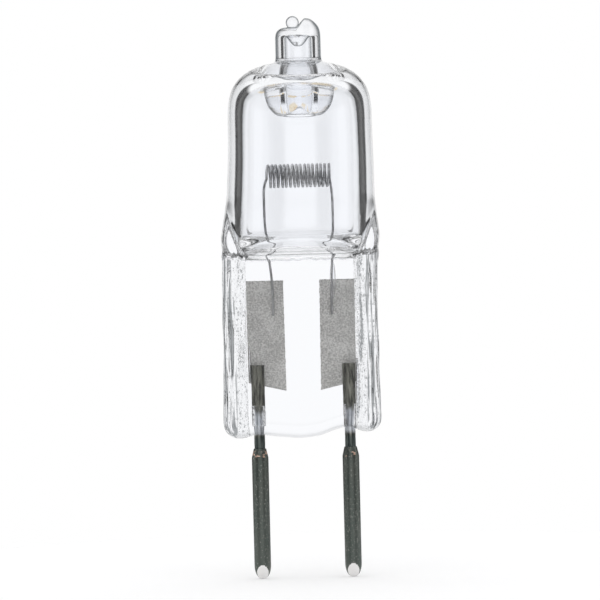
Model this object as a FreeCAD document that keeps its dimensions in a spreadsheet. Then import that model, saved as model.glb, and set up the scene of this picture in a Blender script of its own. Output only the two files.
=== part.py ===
"""Halogen capsule bulb with two pins: a clear quartz envelope with a press seal, a coiled filament and its leads.

Frame: millimetres, +Z up the lamp's axis, +X through the two pins. The origin lies midway between the pins, in the
plane where they reach their full diameter, which is as far as they go into a lampholder.
"""
import FreeCAD, Part
import math
import os

import Sketcher
from FreeCAD import Vector

DIMENSIONS = (
    # pins and leads
    ("pin_spacing", 6.35, "centre to centre of the two pins"),
    ("pin_diameter", 1.17, "full diameter of a pin"),
    ("pin_length", 8.5, "from the full diameter down to the tip"),
    ("pin_nose_length", 0.95, "bullet end"),
    ("pin_nose_diameter", 0.84, "bullet end, half way down"),
    ("pin_tip_diameter", 0.24, "small flat at the very tip"),
    ("pin_shoulder_height", 0.6, "tapered top of the sleeve"),
    ("pin_rim_wall", 0.06, "wall of the sleeve at its upper rim"),
    ("sleeve_clearance", 0.01, "radial room of the lead in its sleeve"),
    ("lead_diameter", 0.75, "molybdenum lead wire"),
    ("lead_in_sleeve", 6.6, "lead below the full diameter plane"),
    ("lead_end_room", 0.15, "room below the end of the lead"),
    ("lead_neck_length", 0.73, "bare lead between sleeve and glass"),
    ("lead_in_seal", 5.11, "lead above the underside of the seal"),
    ("lead_gap", 0.06, "capillary gap round the lead in the glass"),
    ("weld_flat_depth", 0.05, "how far the lead is flattened at the foil"),
    ("weld_flat_length", 1.95, "flattened end of the lead"),
    # foils
    ("foil_spacing", 5.16, "centre to centre of the two foils"),
    ("foil_width", 2.62, "width of a foil"),
    ("foil_length", 7.7, "long inner edge of a foil"),
    ("foil_slant", 0.6, "outer edge is shorter by this"),
    ("foil_thickness", 0.03, "molybdenum ribbon"),
    ("foil_height", 3.29, "underside of the seal to the foil's low corner"),
    # press seal
    ("seal_height", 12.7, "straight part of the press seal"),
    ("seal_width", 11.0, "over the rails"),
    ("seal_thickness", 3.4, "through a rail"),
    ("seal_corner_radius", 0.8, "round lower corners"),
    ("rail_rise", 0.3, "how far the rails run up into the shoulder"),
    ("panel_width", 7.8, "pressed panel between the rails"),
    ("panel_recess", 0.45, "depth of the panel below the rails"),
    ("panel_slope", 40.0, "slope of the panel's edge, degrees"),
    # shoulder, where the round glass was pressed flat
    ("shoulder_width", 11.16, "over the ears at the ends of the shoulder"),
    ("shoulder_ear_height", 1.25, "ears above the straight seal"),
    ("shoulder_slope", 18.0, "slope of the shoulder, degrees"),
    ("shoulder_round", 2.2, "bend from the bulb into the shoulder"),
    ("shoulder_fold", 0.5, "bend from the shoulder into the seal"),
    # bulb, dome and exhaust stub
    ("bulb_diameter_neck", 10.46, "outside, just above the shoulder"),
    ("bulb_diameter_top", 10.1, "outside, just below the dome"),
    ("bulb_height", 10.3, "shoulder to the foot of the stub"),
    ("bulb_wall", 0.98, "glass of the bulb, just below the dome"),
    ("dome_radius", 2.5, "outer round of the dome"),
    ("dome_slope", 15.0, "cone from the round up to the stub, degrees"),
    ("dome_thickness", 1.67, "foot of the stub down to the ceiling"),
    ("cavity_dome_depth", 1.9, "two bevels that round the hollow off below its ceiling"),
    ("cavity_floor_glass", 0.7, "glass from the straight seal up to the cavity"),
    ("cavity_floor_bevel", 0.6, "bevel of the floor at its two ends"),
    ("cavity_floor_depth", 1.0, "flat of the floor, front to back"),
    ("cavity_slope", 28.0, "slope from the floor up to the wall, degrees"),
    ("cavity_round", 0.9, "bend from the slope into the wall"),
    ("stub_diameter", 3.2, "exhaust tube"),
    ("stub_bore", 1.93, "bore of the exhaust tube"),
    ("stub_height", 2.48, "above the dome"),
    ("stub_edge_bevel", 0.4, "melted edge of the stub"),
    ("stub_plug", 0.55, "melted glass above the edge of the bore"),
    ("plug_drop", 0.6, "drop of glass that hangs into the bore"),
    ("bead_diameter_top", 5.04, "bead of glass round the bore, at the ceiling"),
    ("bead_diameter_low", 4.5, "bead of glass round the bore, lower down"),
    ("bead_depth", 1.85, "bead below the ceiling"),
    ("bead_bevel", 0.7, "lower edge of the bead"),
    ("tip_ball_diameter", 0.92, "ball left by the melted-off tube"),
    ("tip_ball_offset", 0.18, "ball, off the axis"),
    ("tip_ball_rise", 0.39, "centre of the ball above the stub"),
    ("tip_lump_diameter", 1.58, "lump where the soft glass folded over"),
    ("tip_lump_offset", 0.78, "lump, off the axis"),
    ("tip_lump_height", 0.66, "lump above the stub"),
    # filament
    ("wire_diameter", 0.16, "tungsten wire, across the flats"),
    ("coil_diameter", 1.52, "to the middle of the wire"),
    ("coil_pitch", 0.284, "between turns"),
    ("coil_turns", 15.5, "turns, ending on a half"),
    ("coil_height", 18.26, "underside of the seal to the axis of the coil"),
    ("leg_foot_spacing", 4.2, "between the legs on the foils"),
    ("leg_foot_height", 8.54, "underside of the seal to the end of a leg"),
    ("leg_exit_rise", 0.3, "straight leg above the foil"),
    ("leg_spread", 4.82, "between the legs at their widest"),
    ("leg_spread_drop", 2.9, "widest point below the axis of the coil"),
)

# Flat sides of the wire's section, and sections in each turn of the coil.
WIRE_SIDES = 6
SECTIONS_PER_TURN = 10

document = FreeCAD.newDocument("halogen_capsule_bulb")
sheet = document.addObject("Spreadsheet::Sheet", "dims")
for row, (alias, value, note) in enumerate(DIMENSIONS, start=1):
    sheet.set(f"A{row}", note)
    sheet.set(f"B{row}", str(value))
    sheet.setAlias(f"B{row}", alias)
document.recompute()

# Heights and places that several pieces share, as expressions on the sheet.
UNDERSIDE = "(dims.pin_shoulder_height + dims.lead_neck_length)"
SEAL_TOP = f"({UNDERSIDE} + dims.seal_height)"
NECK = (f"({SEAL_TOP} + (dims.shoulder_fold + dims.shoulder_round) * cos(dims.shoulder_slope)"
        " + tan(dims.shoulder_slope) * (dims.bulb_diameter_neck / 2 - dims.seal_thickness / 2"
        " - (dims.shoulder_fold + dims.shoulder_round) * (1 - sin(dims.shoulder_slope))))")
DOME_TOP = f"({NECK} + dims.bulb_height)"
STUB_TOP = f"({DOME_TOP} + dims.stub_height)"
CEILING = f"({DOME_TOP} - dims.dome_thickness)"
CAVITY_FLOOR = f"({SEAL_TOP} + dims.cavity_floor_glass)"
FOIL_FRONT = "(dims.lead_diameter / 2 - dims.weld_flat_depth)"


def number(expression):
    """Value of an expression on the sheet."""
    return float(sheet.evalExpression(expression))


def new_body(name):
    """Empty body whose label is the sub-part's name."""
    body = document.addObject("PartDesign::Body", name)
    body.Label = name
    return body


def new_sketch(body, name, role, height="0"):
    """Sketch on one of the body's own origin planes, raised along the plane's normal."""
    sketch = body.newObject("Sketcher::SketchObject", name)
    plane = next(item for item in body.Origin.OriginFeatures if item.Role == role)
    sketch.AttachmentSupport = [(plane, "")]
    sketch.MapMode = "FlatFace"
    sketch.setExpression("AttachmentOffset.Base.z", height)
    return sketch


def bind(sketch, constraint, expression):
    """Adds a sized constraint and ties its value to the sheet."""
    index = sketch.addConstraint(constraint)
    sketch.setExpression(f"Constraints[{index}]", expression)


def place_point(sketch, geometry, end, across, up):
    """Ties one point of a sketch to its two coordinates."""
    for expression, kind, axis in ((across, "DistanceX", -2), (up, "DistanceY", -1)):
        if expression == "0":
            sketch.addConstraint(Sketcher.Constraint("PointOnObject", geometry, end, axis))
        else:
            bind(sketch, Sketcher.Constraint(kind, -1, 1, geometry, end, number(expression)), expression)


def draw_outline(sketch, corners):
    """Closed outline through its corners.

    A corner is (across, up), or (across, up, radius, side) where an arc leads on to the next corner: side is 1 where
    the arc's centre lies to the left of the way there and -1 where it lies to the right.
    """
    points = [Vector(number(corner[0]), number(corner[1]), 0) for corner in corners]
    count = len(corners)
    ends = []
    for index, corner in enumerate(corners):
        start = points[index]
        finish = points[(index + 1) % count]
        if len(corner) == 2:
            geometry = sketch.addGeometry(Part.LineSegment(start, finish))
            ends.append((geometry, 1, 2))
            continue
        radius = number(corner[2])
        side = corner[3]
        chord = finish - start
        left = Vector(-chord.y, chord.x, 0).normalize()
        centre = (start + finish) / 2 + left * (side * math.sqrt(max(radius**2 - chord.Length**2 / 4, 0)))
        first, last = (start, finish) if side > 0 else (finish, start)
        angles = [math.atan2(point.y - centre.y, point.x - centre.x) for point in (first, last)]
        circle = Part.Circle(centre, Vector(0, 0, 1), radius)
        geometry = sketch.addGeometry(Part.ArcOfCircle(circle, angles[0], angles[1]))
        ends.append((geometry, 1, 2) if side > 0 else (geometry, 2, 1))
    for index in range(count):
        here = ends[index]
        onward = ends[(index + 1) % count]
        sketch.addConstraint(Sketcher.Constraint("Coincident", here[0], here[2], onward[0], onward[1]))
    for index, corner in enumerate(corners):
        place_point(sketch, ends[index][0], ends[index][1], corner[0], corner[1])
        if len(corner) > 2:
            bind(sketch, Sketcher.Constraint("Radius", ends[index][0], number(corner[2])), corner[2])


def draw_circle(sketch, radius):
    """Circle about the sketch's origin."""
    geometry = sketch.addGeometry(Part.Circle(Vector(0, 0, 0), Vector(0, 0, 1), number(radius)))
    sketch.addConstraint(Sketcher.Constraint("Coincident", geometry, 3, -1, 1))
    bind(sketch, Sketcher.Constraint("Radius", geometry, number(radius)), radius)


def draw_slot(sketch, width, thickness):
    """Flat shape with round ends, as wide and as thick as given."""
    half = f"({thickness}) / 2"
    middle = f"({width} - {thickness}) / 2"
    radius = number(half)
    reach = number(middle)
    up = Vector(0, 0, 1)
    quarter = math.pi / 2
    ends = []
    for side, start in ((1, -quarter), (-1, quarter)):
        circle = Part.Circle(Vector(side * reach, 0, 0), up, radius)
        ends.append(sketch.addGeometry(Part.ArcOfCircle(circle, start, start + math.pi)))
    for first, second in (ends, ends[::-1]):
        start = sketch.getPoint(first, 2)
        finish = sketch.getPoint(second, 1)
        line = sketch.addGeometry(Part.LineSegment(start, finish))
        sketch.addConstraint(Sketcher.Constraint("Coincident", first, 2, line, 1))
        sketch.addConstraint(Sketcher.Constraint("Coincident", line, 2, second, 1))
    for end, expression in zip(ends, (middle, f"-{middle}")):
        place_point(sketch, end, 3, expression, "0")
        bind(sketch, Sketcher.Constraint("Radius", end, radius), half)
        for corner in (1, 2):
            sketch.addConstraint(Sketcher.Constraint("Vertical", end, 3, end, corner))


def turned(body, sketch, name):
    """Revolution of a sketch about its upright axis."""
    feature = body.newObject("PartDesign::Revolution", name)
    feature.Profile = sketch
    feature.ReferenceAxis = (sketch, ["V_Axis"])
    feature.Angle = 360.0
    return feature


def make_pin_sleeve(name, side):
    """Turned sleeve: tapered shoulder, straight pin, bullet end and a blind bore for the lead."""
    body = new_body(name)
    bore = "(dims.lead_diameter / 2 + dims.sleeve_clearance)"
    bore_end = "-(dims.lead_in_sleeve + dims.lead_end_room)"
    profile = new_sketch(body, f"{name}_profile", "XZ_Plane")
    draw_outline(profile, (
        ("0", bore_end),
        (bore, bore_end),
        (bore, "dims.pin_shoulder_height"),
        (f"{bore} + dims.pin_rim_wall", "dims.pin_shoulder_height"),
        ("dims.pin_diameter / 2", "0"),
        ("dims.pin_diameter / 2", "dims.pin_nose_length - dims.pin_length"),
        ("dims.pin_nose_diameter / 2", "dims.pin_nose_length / 2 - dims.pin_length"),
        ("dims.pin_tip_diameter / 2", "-dims.pin_length"),
        ("0", "-dims.pin_length"),
    ))
    turned(body, profile, f"{name}_turned")
    body.setExpression("Placement.Base.x", f"{side} * dims.pin_spacing / 2")
    return body


def make_lead(name, side):
    """Round lead wire with its upper end flattened where it is welded to the foil."""
    body = new_body(name)
    section = new_sketch(body, f"{name}_section", "XY_Plane", "-dims.lead_in_sleeve")
    draw_circle(section, "dims.lead_diameter / 2")
    wire = body.newObject("PartDesign::Pad", f"{name}_wire")
    wire.Profile = section
    wire.setExpression("Length", f"dims.lead_in_sleeve + {UNDERSIDE} + dims.lead_in_seal")
    flat = new_sketch(body, f"{name}_flat", "XY_Plane", f"{UNDERSIDE} + dims.lead_in_seal")
    draw_outline(flat, (
        ("-dims.lead_diameter", FOIL_FRONT),
        ("dims.lead_diameter", FOIL_FRONT),
        ("dims.lead_diameter", "dims.lead_diameter"),
        ("-dims.lead_diameter", "dims.lead_diameter"),
    ))
    pressed = body.newObject("PartDesign::Pocket", f"{name}_weld")
    pressed.Profile = flat
    pressed.setExpression("Length", "dims.weld_flat_length")
    body.setExpression("Placement.Base.x", f"{side} * dims.pin_spacing / 2")
    return body


def make_foil(name, side):
    """Thin ribbon with a slanting lower end, its longer edge towards the middle of the lamp."""
    body = new_body(name)
    outline = new_sketch(body, f"{name}_outline", "XZ_Plane")
    inner = f"{-side} * dims.foil_width / 2"
    outer = f"{side} * dims.foil_width / 2"
    draw_outline(outline, (
        (inner, f"{UNDERSIDE} + dims.foil_height"),
        (outer, f"{UNDERSIDE} + dims.foil_height + dims.foil_slant"),
        (outer, f"{UNDERSIDE} + dims.foil_height + dims.foil_length"),
        (inner, f"{UNDERSIDE} + dims.foil_height + dims.foil_length"),
    ))
    ribbon = body.newObject("PartDesign::Pad", f"{name}_ribbon")
    ribbon.Profile = outline
    ribbon.setExpression("Length", "dims.foil_thickness")
    ribbon.Reversed = True
    body.setExpression("Placement.Base.x", f"{side} * dims.foil_spacing / 2")
    body.setExpression("Placement.Base.y", FOIL_FRONT)
    return body


def wire_section(point, along, outward):
    """Section of the filament wire across its way, with flats towards and away from the given side."""
    along = Vector(along).normalize()
    first = (outward - along * outward.dot(along)).normalize()
    second = along.cross(first)
    corner_radius = number("dims.wire_diameter / 2") / math.cos(math.pi / WIRE_SIDES)
    angles = [2 * math.pi * (k + 0.5) / WIRE_SIDES for k in range(WIRE_SIDES)]
    corners = [
        point + first * (corner_radius * math.cos(angle)) + second * (corner_radius * math.sin(angle))
        for angle in angles
    ]
    return Part.makePolygon(corners + corners[:1])


def leg_sections(side):
    """Sections of one leg of the filament, from its end on the foil up to just below the coil."""
    underside = number(UNDERSIDE)
    foot = number("dims.leg_foot_spacing / 2")
    knee = number("dims.leg_spread / 2")
    coil_radius = number("dims.coil_diameter / 2")
    coil_axis = underside + number("dims.coil_height")
    weld_plane = number(f"{FOIL_FRONT} - dims.wire_diameter / 2")
    foot_end = underside + number("dims.leg_foot_height")
    foil_top = underside + number("dims.foil_height + dims.foil_length + dims.leg_exit_rise")
    knee_height = coil_axis - number("dims.leg_spread_drop")
    outward = Vector(0, side, 0)
    rise = (knee_height - foil_top) / (coil_axis - foil_top)
    knee_plane = weld_plane + (side * coil_radius - weld_plane) * rise
    end = Vector(side * foot, weld_plane, foot_end)
    exit_point = Vector(side * foot, weld_plane, foil_top)
    bend = Vector(side * knee, knee_plane, knee_height)
    return [
        wire_section(end, Vector(0, 0, -side), outward),
        wire_section(exit_point, Vector(0, 0, -side), outward),
        wire_section(bend, Vector(0, 0, -side), outward),
    ]


def coil_sections():
    """Sections of the coil: it starts on the front going up and ends on the back going down."""
    radius = number("dims.coil_diameter / 2")
    pitch = number("dims.coil_pitch")
    turns = number("dims.coil_turns")
    axis_height = number(f"{UNDERSIDE} + dims.coil_height")
    count = round(turns * SECTIONS_PER_TURN)
    sections = []
    for step in range(count + 1):
        angle = 2 * math.pi * turns * step / count
        outward = Vector(0, -math.cos(angle), math.sin(angle))
        centre = Vector(pitch * turns * (step / count - 0.5), 0, axis_height)
        along = Vector(pitch / (2 * math.pi), radius * math.sin(angle), radius * math.cos(angle))
        sections.append(wire_section(centre + outward * radius, along, outward))
    return sections


def make_filament():
    """One wire: left leg, coil and right leg, as straight-sided spans between its sections."""
    left = leg_sections(-1)
    right = leg_sections(1)
    filament = document.addObject("Part::Feature", "filament")
    filament.Label = "filament"
    filament.Shape = Part.makeLoft(left + coil_sections() + right[::-1], True, True)
    channels = []
    for name, sections in (("leg_channel_left", left), ("leg_channel_right", right[::-1])):
        channel = document.addObject("Part::Feature", name)
        channel.Shape = Part.makeLoft(sections, True, True)
        channels.append(channel)
    return filament, channels


def make_lead_bore(name, side):
    """Room in the glass for one lead and the gap round it."""
    bore = document.addObject("Part::Cylinder", name)
    bore.setExpression("Radius", "dims.lead_diameter / 2 + dims.lead_gap")
    bore.setExpression("Height", f"{UNDERSIDE} + dims.lead_in_seal + dims.lead_gap")
    bore.setExpression("Placement.Base.x", f"{side} * dims.pin_spacing / 2")
    return bore


def press(body, name, base, half_gap, reach, slope, bend, fold="0"):
    """Cuts away what two jaws squeeze off the round glass, front and back.

    Seen from the side, the glass keeps its half gap up to the base height, folds out into the slope and bends up into
    the round wall at its reach.
    """
    half = f"({half_gap})"
    wall = f"({reach})"
    shift = f"(1 - sin({slope}))"
    rise = f"({fold} * cos({slope}))"
    line = f"(tan({slope}) * ({wall} - {half} - ({fold} + {bend}) * {shift}))"
    low = f"{base} - {wall}"
    far = f"(2 * {wall})"
    sketch = new_sketch(body, f"{name}_outline", "YZ_Plane")
    for side in (1, -1):
        start = [(f"{side} * {half}", low), (f"{side} * {half}", base)]
        if fold != "0":
            start[1] += (fold, -side)
            start.append((f"{side} * ({half} + {fold} * {shift})", f"{base} + {rise}"))
        top = f"{base} + {rise} + {line} + {bend} * cos({slope})"
        draw_outline(sketch, start + [
            (f"{side} * ({wall} - {bend} * {shift})", f"{base} + {rise} + {line}", bend, side),
            (f"{side} * {wall}", top),
            (f"{side} * {far}", top),
            (f"{side} * {far}", low),
        ])
    jaws = body.newObject("PartDesign::Pocket", name)
    jaws.Profile = sketch
    jaws.SideType = "Symmetric"
    jaws.setExpression("Length", f"2 * {far}")


def make_glass_outside():
    """Outside of the envelope: flared bulb, dome and stub, pressed shoulder, seal with two panels, melted tip."""
    body = new_body("glass_outside")
    top_radius = "(dims.bulb_diameter_top / 2)"
    stub_radius = "(dims.stub_diameter / 2)"
    crown_radius = f"({top_radius} - dims.dome_radius * (1 - sin(dims.dome_slope)))"
    crown_height = f"({DOME_TOP} - ({crown_radius} - {stub_radius}) * tan(dims.dome_slope))"
    profile = new_sketch(body, "bulb_profile", "XZ_Plane")
    draw_outline(profile, (
        ("0", f"{SEAL_TOP} - dims.seal_thickness / 2"),
        ("(dims.seal_width - dims.seal_thickness) / 2", f"{SEAL_TOP} - dims.seal_thickness / 2"),
        ("dims.seal_width / 2", SEAL_TOP),
        ("dims.shoulder_width / 2", f"{SEAL_TOP} + dims.shoulder_ear_height"),
        ("dims.bulb_diameter_neck / 2", NECK),
        (top_radius, f"{crown_height} - dims.dome_radius * cos(dims.dome_slope)", "dims.dome_radius", 1),
        (crown_radius, crown_height),
        (stub_radius, DOME_TOP),
        (stub_radius, f"{STUB_TOP} - dims.stub_edge_bevel"),
        (f"{stub_radius} - dims.stub_edge_bevel", STUB_TOP),
        ("0", STUB_TOP),
    ))
    turned(body, profile, "bulb")
    press(body, "shoulder", SEAL_TOP, "dims.seal_thickness / 2", "dims.bulb_diameter_neck / 2",
          "dims.shoulder_slope", "dims.shoulder_round", "dims.shoulder_fold")
    add_seal(body)
    add_melted_tip(body)
    return body


def add_seal(body):
    """Press seal: a flat bar with round sides and lower corners, and a clear panel pressed into each face."""
    section = new_sketch(body, "seal_section", "XY_Plane", UNDERSIDE)
    draw_slot(section, "dims.seal_width", "dims.seal_thickness")
    bar = body.newObject("PartDesign::Pad", "seal")
    bar.Profile = section
    bar.setExpression("Length", "dims.seal_height + dims.rail_rise")

    side = "dims.seal_width / 2"
    corner = "dims.seal_corner_radius"
    corners = new_sketch(body, "seal_corners_outline", "XZ_Plane")
    draw_outline(corners, (
        (f"-{side}", f"{UNDERSIDE} + {corner}", corner, 1),
        (f"-{side} + {corner}", UNDERSIDE),
        (f"-{side}", UNDERSIDE),
    ))
    draw_outline(corners, (
        (f"{side} - {corner}", UNDERSIDE, corner, 1),
        (side, f"{UNDERSIDE} + {corner}"),
        (side, UNDERSIDE),
    ))
    rounded = body.newObject("PartDesign::Pocket", "seal_corners")
    rounded.Profile = corners
    rounded.SideType = "Symmetric"
    rounded.setExpression("Length", "2 * dims.seal_thickness")

    for name, front in (("panel_front", 1), ("panel_back", -1)):
        outline = new_sketch(body, f"{name}_outline", "XZ_Plane", f"{front} * dims.seal_thickness / 2")
        draw_outline(outline, (
            ("-dims.panel_width / 2", f"{UNDERSIDE} - dims.panel_recess"),
            ("dims.panel_width / 2", f"{UNDERSIDE} - dims.panel_recess"),
            ("dims.panel_width / 2", SEAL_TOP),
            ("-dims.panel_width / 2", SEAL_TOP),
        ))
        panel = body.newObject("PartDesign::Pocket", name)
        panel.Profile = outline
        panel.setExpression("Length", "dims.panel_recess")
        panel.setExpression("TaperAngle", "-dims.panel_slope")
        panel.Reversed = front < 0


def add_melted_tip(body):
    """Melted end of the exhaust stub: a small ball, and a lump where the soft glass folded over."""
    plane = next(item for item in body.Origin.OriginFeatures if item.Role == "XY_Plane")
    lump_height = f"{STUB_TOP} + dims.tip_lump_height - dims.tip_lump_diameter / 2"
    for name, diameter, across, height in (
        ("tip_ball", "dims.tip_ball_diameter", "-dims.tip_ball_offset", f"{STUB_TOP} + dims.tip_ball_rise"),
        ("tip_lump", "dims.tip_lump_diameter", "dims.tip_lump_offset", lump_height),
    ):
        drop = body.newObject("PartDesign::AdditiveSphere", name)
        drop.AttachmentSupport = [(plane, "")]
        drop.MapMode = "FlatFace"
        drop.setExpression("Radius", f"{diameter} / 2")
        drop.setExpression("AttachmentOffset.Base.x", across)
        drop.setExpression("AttachmentOffset.Base.z", height)


def make_hollow():
    """Hollow of the bulb: round wall, bead of glass at its ceiling, bore of the stub and a floor pressed narrow."""
    body = new_body("hollow")
    wall = "(dims.bulb_diameter_top / 2 - dims.bulb_wall)"
    half_turn_in = "(dims.cavity_dome_depth * (1 - cos(45)))"
    ceiling_radius = f"({wall} - dims.cavity_dome_depth)"
    bead_root = f"{CEILING} - (dims.bead_diameter_top / 2 - {ceiling_radius}) * tan(45 / 2)"
    bead_bottom = f"({CEILING} - dims.bead_depth)"
    bore = "(dims.stub_bore / 2)"
    bore_edge = f"({STUB_TOP} - dims.stub_plug)"
    profile = new_sketch(body, "hollow_profile", "XZ_Plane")
    draw_outline(profile, (
        ("0", CAVITY_FLOOR),
        (f"{wall} - dims.cavity_floor_bevel", CAVITY_FLOOR),
        (wall, f"{CAVITY_FLOOR} + dims.cavity_floor_bevel"),
        (wall, f"{CEILING} - dims.cavity_dome_depth"),
        (f"{wall} - {half_turn_in}", f"{CEILING} - {half_turn_in}"),
        ("dims.bead_diameter_top / 2", bead_root),
        ("dims.bead_diameter_low / 2", f"{bead_bottom} + dims.bead_bevel"),
        ("dims.bead_diameter_low / 2 - dims.bead_bevel", bead_bottom),
        (bore, bead_bottom),
        (bore, bore_edge),
        ("0", f"{bore_edge} - dims.plug_drop"),
    ))
    turned(body, profile, "hollow_round")
    press(body, "hollow_floor", CAVITY_FLOOR, "dims.cavity_floor_depth / 2", wall,
          "dims.cavity_slope", "dims.cavity_round")
    return body


def make_glass_envelope(outside, inside):
    """The finished envelope: its outside with the hollow and the room for each piece of sealed metal taken out."""
    room = document.addObject("Part::MultiFuse", "room_inside")
    room.Shapes = inside
    envelope = document.addObject("Part::Cut", "glass_envelope")
    envelope.Label = "glass_envelope"
    envelope.Base = outside
    envelope.Tool = room
    return envelope


def check(pieces):
    """Stops if any object failed or a piece isn't one sound solid."""
    for item in document.Objects:
        if "Invalid" in item.State or "Error" in item.State:
            raise RuntimeError(f"{item.Name} failed: {item.State}")
    for piece in pieces:
        shape = piece.Shape
        if shape.isNull() or not shape.isValid() or len(shape.Solids) != 1:
            raise RuntimeError(f"{piece.Label} is not one valid solid")


leads = [make_lead("lead_left", -1), make_lead("lead_right", 1)]
sleeves = [make_pin_sleeve("pin_sleeve_left", -1), make_pin_sleeve("pin_sleeve_right", 1)]
foils = [make_foil("foil_left", -1), make_foil("foil_right", 1)]
lead_bores = [make_lead_bore("lead_bore_left", -1), make_lead_bore("lead_bore_right", 1)]
filament, leg_channels = make_filament()
glass_outside = make_glass_outside()
hollow = make_hollow()
glass_envelope = make_glass_envelope(glass_outside, [hollow] + foils + leg_channels + lead_bores)
document.recompute()

sub_parts = [glass_envelope, filament] + foils + leads + sleeves
check(sub_parts)

os.makedirs("parts", exist_ok=True)
for piece in sub_parts:
    piece.Shape.exportStep(f"parts/{piece.Label}.step")
    print(f"{piece.Label}: {piece.Shape.Volume:.4f} mm3")
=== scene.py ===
import math

import bmesh
import bpy
import numpy as np
from mathutils import Euler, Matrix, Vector


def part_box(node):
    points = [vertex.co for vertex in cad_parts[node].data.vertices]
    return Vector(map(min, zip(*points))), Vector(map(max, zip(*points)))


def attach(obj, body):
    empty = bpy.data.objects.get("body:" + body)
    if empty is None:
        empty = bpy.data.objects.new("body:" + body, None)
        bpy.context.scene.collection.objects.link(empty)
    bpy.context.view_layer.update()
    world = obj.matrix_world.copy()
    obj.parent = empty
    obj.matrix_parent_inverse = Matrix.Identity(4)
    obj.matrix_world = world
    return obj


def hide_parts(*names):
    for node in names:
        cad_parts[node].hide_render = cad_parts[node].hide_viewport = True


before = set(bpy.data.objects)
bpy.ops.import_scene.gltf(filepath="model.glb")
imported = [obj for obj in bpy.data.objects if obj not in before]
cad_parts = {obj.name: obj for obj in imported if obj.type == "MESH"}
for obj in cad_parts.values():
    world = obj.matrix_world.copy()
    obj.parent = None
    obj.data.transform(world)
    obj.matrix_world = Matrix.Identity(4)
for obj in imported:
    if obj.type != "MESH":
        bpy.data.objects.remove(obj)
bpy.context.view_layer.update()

# Filament: one drawn tungsten wire. A single coil lies across the bulb and its ends run down as legs.
# Each leg is welded to a foil inside the seal, so the wire is held by the glass alone.
# Sizes are in millimetres, and most heights count from the underside of the seal.
MM = 0.001
glass_low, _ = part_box("glass_envelope")
UNDERSIDE = glass_low.z / MM
COIL_AXIS = UNDERSIDE + 18.26
COIL_RADIUS = 0.76
COIL_PITCH = 0.284
COIL_TURNS = 15.5
COIL_UNEVEN = 0.02
COIL_UNEVEN_RATE = 2.16
STEPS_A_TURN = 32
WIRE_RADIUS = 0.088
WIRE_SIDES = 10
LEG_FOOT = UNDERSIDE + 8.54
LEG_BEND = UNDERSIDE + 10.6
LEG_LEAN = UNDERSIDE + 12.4
LEG_UPRIGHT = UNDERSIDE + 14.6
LEFT_SPREAD = -2.45
LEFT_FOOT = -2.0
RIGHT_SPREAD = 2.35
RIGHT_FOOT = 2.1
FOIL_FRONT = 0.325
TUNGSTEN_DARK = (0.36, 0.365, 0.37)
TUNGSTEN_BRIGHT = (0.62, 0.62, 0.63)
TUNGSTEN_GRAINS = (9.0, 9.0, 2.0)
TUNGSTEN_ROUGHNESS = 0.3


def corner_cut(points, passes):
    """Each pass puts two points on every run, a quarter in from its ends, which rounds every corner."""
    points = np.asarray(points, float)
    for _ in range(passes):
        first, last = points[:-1], points[1:]
        cut = np.stack((0.75 * first + 0.25 * last, 0.25 * first + 0.75 * last), axis=1)
        points = np.concatenate((points[:1], cut.reshape(-1, points.shape[1]), points[-1:]))
    return points


def leg_line(side, spread, foot):
    """Leg from its foot on the foil up to the coil: straight runs through seven points, corners rounded."""
    on_foil = FOIL_FRONT - WIRE_RADIUS
    coil_end = side * COIL_PITCH * COIL_TURNS / 2.0
    points = [
        (foot, on_foil, LEG_FOOT),
        (foot, on_foil, LEG_BEND),
        (foot + 0.4 * (spread - foot), on_foil, LEG_LEAN),
        (spread, 0.2 + 0.1 * side, LEG_UPRIGHT),
        (spread, 0.35 * side, COIL_AXIS - 1.6),
        (spread - 0.05 * side, side * COIL_RADIUS, COIL_AXIS - 0.75),
        (coil_end, side * COIL_RADIUS, COIL_AXIS - 0.2),
    ]
    return corner_cut(points, 4)


def coil_line():
    """Helix about the across axis, from the front going up to the back going down, and its angle of turn.

    Depth is minus the radius times the cosine of the angle, and height the radius times the sine. The place
    across grows by the pitch with each turn, with a slow sine added because the turns aren't quite even.
    """
    turn = np.linspace(0.0, 2.0 * np.pi * COIL_TURNS, int(COIL_TURNS * STEPS_A_TURN) + 1)
    turns = turn / (2.0 * np.pi)
    across = COIL_PITCH * (turns - COIL_TURNS / 2.0) + COIL_UNEVEN * np.sin(COIL_UNEVEN_RATE * turns)
    line = np.stack((across, -COIL_RADIUS * np.cos(turn), COIL_AXIS + COIL_RADIUS * np.sin(turn)), axis=1)
    return line, turn


def round_wire(line, outward, radius, sides):
    """Round section carried along a line: cosine of the way round on the outward side, sine across it."""
    along = np.gradient(line, axis=0)
    along /= np.linalg.norm(along, axis=1, keepdims=True)
    first = outward - along * np.sum(outward * along, axis=1, keepdims=True)
    first /= np.linalg.norm(first, axis=1, keepdims=True)
    second = np.cross(along, first)
    angle = np.linspace(0.0, 2.0 * np.pi, sides, endpoint=False)[None, :, None]
    thickness = np.full(len(line), radius)
    thickness[[0, -1]] = 0.0
    ring = np.cos(angle) * first[:, None, :] + np.sin(angle) * second[:, None, :]
    return line[:, None, :] + thickness[:, None, None] * ring


def ring_faces(rows, around, start, inward):
    """Four-sided faces between each ring and the next, closed round the ring, from the start point on."""
    row, column = np.meshgrid(np.arange(rows - 1), np.arange(around), indexing="ij")
    here = row * around + column
    onward = row * around + (column + 1) % around
    corners = (here, onward, onward + around, here + around)
    faces = np.stack(corners[::-1] if inward else corners, axis=2).reshape(-1, 4)
    return faces + start


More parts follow.
